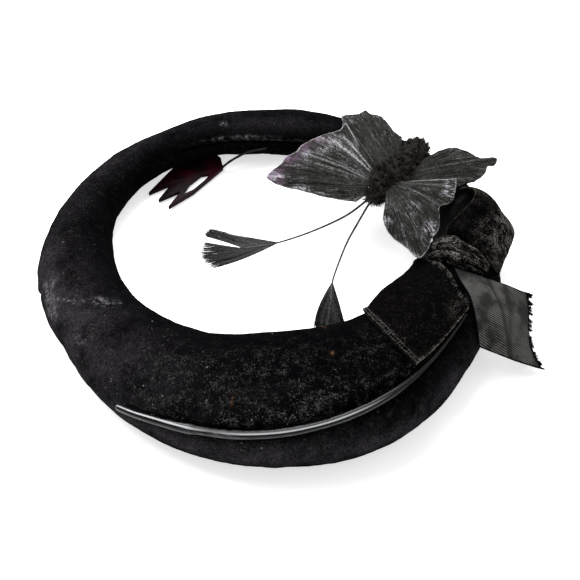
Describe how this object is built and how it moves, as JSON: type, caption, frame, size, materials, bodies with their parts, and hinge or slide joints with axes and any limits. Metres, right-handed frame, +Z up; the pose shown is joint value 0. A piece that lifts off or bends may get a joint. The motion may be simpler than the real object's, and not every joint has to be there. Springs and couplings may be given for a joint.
{
  "type": "fascinator",
  "caption": "Padded black velvet halo hair ornament with a tied velvet ribbon, a frosted butterfly with feather antennae, a stripped quill and a small hair comb.",
  "frame": {"origin": "on the surface it rests on, under the middle of its outer box", "axes": "+Z up out of the ring's plane, -Y to the thick front, +X to the side with the knot and the butterfly"},
  "size_m": [0.2604, 0.2512, 0.0501],
  "materials": {
    "roll_velvet": "worn black velvet with dust in the pile",
    "quill": "glossy stripped and dyed feather quill",
    "ribbon_velvet": "crushed black velvet ribbon with brownish sheen",
    "ribbon_reverse": "dull grey ribbed reverse of the ribbon",
    "chenille": "fuzzy chenille",
    "wing": "pressed velvet wing, frosted at its ridges and edges",
    "feather": "charcoal feather barbs on a black stem",
    "comb": "polished dark red tortoiseshell plastic",
    "tie": "waxed black thread tape"
  },
  "bodies": {
    "root": {"ring_roll": "roll_velvet", "quill": "quill", "ribbon_band": "ribbon_velvet", "knot": "ribbon_velvet", "bow_loop": "ribbon_velvet", "ribbon_tail": "ribbon_reverse", "butterfly_body": "chenille", "forewing_left": "wing", "hindwing_left": "wing", "hindwing_right": "wing", "forewing_right": "wing", "antenna_left": "feather", "antenna_right": "feather", "comb": "comb", "comb_tie": "tie"}
  },
  "joints": []
}
